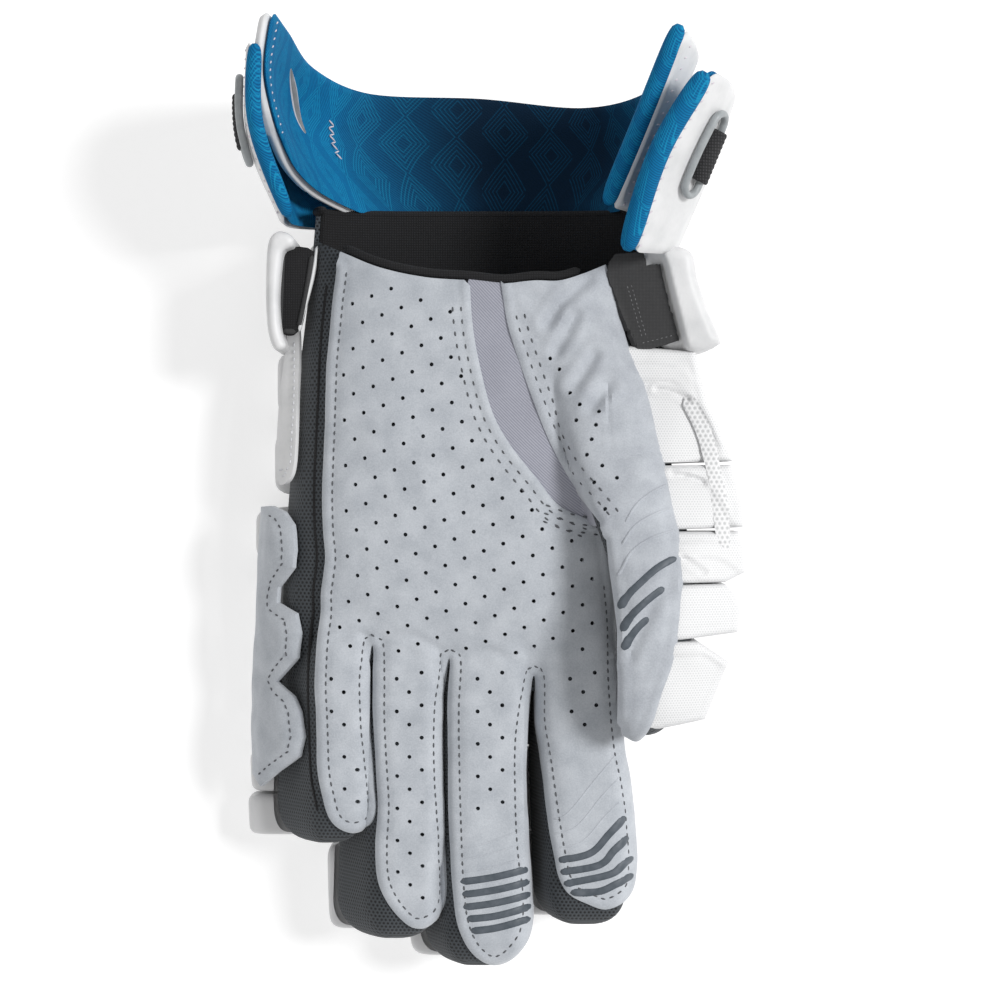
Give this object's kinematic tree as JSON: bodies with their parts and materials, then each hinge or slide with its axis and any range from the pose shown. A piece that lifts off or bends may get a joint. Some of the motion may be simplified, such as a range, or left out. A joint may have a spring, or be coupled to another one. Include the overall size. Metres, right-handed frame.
{
  "type": "lacrosse glove",
  "caption": "Padded left-hand lacrosse glove, palm up: perforated suede palm and fingers, mesh stalls, foam rolls on the back, thumb guard and an open flared cuff with outer flaps and plastic loops",
  "frame": {"origin": "on the floor under the middle of the glove's box, the glove lying palm up on its back pads", "axes": "+X towards the thumb, +Y towards the cuff, +Z out of the palm"},
  "size_m": [0.181, 0.3418, 0.0901],
  "materials": {
    "suede": "light grey microfibre suede with round perforations and stitched borders",
    "mesh": "dark grey air mesh with small black cells",
    "gusset": "stretch twill, mauve grey, double stitched",
    "white_leather": "smooth white synthetic leather over foam",
    "lining": "blue knit with a tone on tone pattern of fine lines",
    "charcoal": "rough charcoal weave",
    "knit": "black rib knit",
    "plastic": "moulded grey plastic",
    "webbing": "black ribbed webbing"
  },
  "bodies": {
    "root": {"palm_leather": "suede", "thumb_leather": "suede", "side_leather": "suede", "hand_mesh": "mesh", "little_sock": "mesh", "ring_sock": "mesh", "middle_sock": "mesh", "index_sock": "mesh", "thumb_sock": "mesh", "wrist_knit": "knit", "thumb_gusset": "gusset", "side_panel": "white_leather", "cuff_shell": "white_leather", "left_flap": "white_leather", "right_flap": "white_leather", "wrist_pad": "white_leather", "left_wrist_roll": "white_leather", "right_wrist_roll": "white_leather", "wrist_tab": "charcoal", "strap_patch": "charcoal", "little_roll_1": "white_leather", "little_roll_2": "white_leather", "little_roll_3": "white_leather", "little_roll_4": "white_leather", "little_roll_5": "white_leather", "little_roll_6": "white_leather", "ring_roll_1": "white_leather", "ring_roll_2": "white_leather", "ring_roll_3": "white_leather", "ring_roll_4": "white_leather", "middle_roll_1": "white_leather", "middle_roll_2": "white_leather", "middle_roll_3": "white_leather", "middle_roll_4": "white_leather", "index_roll_1": "white_leather", "index_roll_2": "white_leather", "index_roll_3": "white_leather", "index_roll_4": "white_leather", "back_pad_1": "white_leather", "back_pad_2": "white_leather", "back_pad_3": "white_leather", "thumb_guard_1": "white_leather", "thumb_guard_2": "white_leather", "thumb_guard_3": "white_leather", "thumb_guard_4": "white_leather", "thumb_guard_5": "white_leather", "cuff_lining": "lining", "left_flap_lining": "lining", "right_flap_lining": "lining", "left_loop": "plastic", "right_loop": "plastic", "left_webbing": "webbing", "right_webbing": "webbing"}
  },
  "joints": []
}
